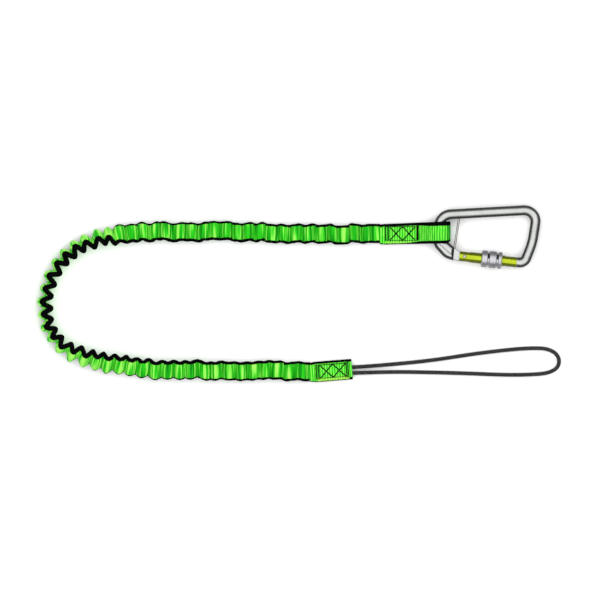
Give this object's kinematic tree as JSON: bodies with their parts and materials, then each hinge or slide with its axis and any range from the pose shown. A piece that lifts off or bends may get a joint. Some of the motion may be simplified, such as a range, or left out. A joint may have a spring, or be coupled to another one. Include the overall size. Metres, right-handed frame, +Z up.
{
  "type": "shock absorbing tool lanyard",
  "caption": "Stretch tool lanyard of gathered green webbing over elastic, with a screwgate karabiner at one end and a sewn cord loop at the other.",
  "frame": {"origin": "on the floor under the middle of the lanyard as it lies", "axes": "+X along the laid-out lanyard towards the karabiner and cord loop, +Y across it towards the karabiner, +Z up"},
  "size_m": [0.4735, 0.159, 0.018],
  "materials": {
    "polished_aluminium": "polished",
    "green_anodised": "anodised, semi-gloss",
    "silver_knurled": "fine knurled",
    "steel": "plain",
    "green_webbing": "woven",
    "elastic": "matt",
    "black_thread": "sewn thread",
    "black_cord": "braided",
    "white_core": "plain strands"
  },
  "bodies": {
    "lanyard_middle": {"webbing_bend": "green_webbing", "webbing_upper_run": "green_webbing", "webbing_lower_run": "green_webbing", "elastic_bend": "elastic", "elastic_upper": "elastic", "elastic_lower": "elastic"},
    "eye_end": {"webbing_eye": "green_webbing", "eye_stitching": "black_thread", "eye_bartacks": "black_thread"},
    "loop_end": {"webbing_loop_end": "green_webbing", "loop_stitching": "black_thread", "loop_bartacks": "black_thread", "cord_sheath": "black_cord", "cord_core": "white_core"},
    "karabiner": {"karabiner_frame": "polished_aluminium", "captive_bar": "steel"},
    "gate_body": {"gate": "green_anodised", "gate_pivot_pin": "steel", "gate_latch_pin": "steel", "gate_spring": "steel"},
    "plunger": {"gate_plunger": "steel"},
    "sleeve": {"screw_sleeve": "silver_knurled"}
  },
  "joints": [
    {"name": "eye_stretch", "type": "slide", "parent": "lanyard_middle", "child": "eye_end", "axis": [1, 0, 0], "range_m": [0, 0.11], "stiffness_N_per_m": 60, "deforming": ["webbing_upper_run", "elastic_upper"]},
    {"name": "loop_stretch", "type": "slide", "parent": "lanyard_middle", "child": "loop_end", "axis": [1, 0, 0], "range_m": [0, 0.11], "stiffness_N_per_m": 60, "deforming": ["webbing_lower_run", "elastic_lower"]},
    {"name": "karabiner_swing", "type": "hinge", "parent": "eye_end", "child": "karabiner", "pos_m": [0.1279, 0.0543, 0.0088], "axis": [0, -1, 0], "range_deg": [0, 150]},
    {"name": "gate_swing", "type": "hinge", "parent": "karabiner", "child": "gate_body", "pos_m": [0.14932, 0.03302, 0.00883], "axis": [0.0377, 0.0394, 0.9985], "range_deg": [0, 28], "stiffness_Nm_per_rad": 0.05},
    {"name": "plunger_slide", "type": "slide", "parent": "gate_body", "child": "plunger", "axis": [0.9938, -0.1062, -0.0334], "range_m": [0, 0.00125], "deforming": ["gate_spring"]},
    {"name": "sleeve_travel", "type": "slide", "parent": "gate_body", "child": "sleeve", "axis": [0.9938, -0.1062, -0.0334], "range_m": [0, 0.015]}
  ],
  "couplings": [
    {"joint": "loop_stretch", "follows": "eye_stretch", "ratio": 1},
    {"joint": "plunger_slide", "follows": "gate_swing", "m_per_rad": 0.00245}
  ]
}
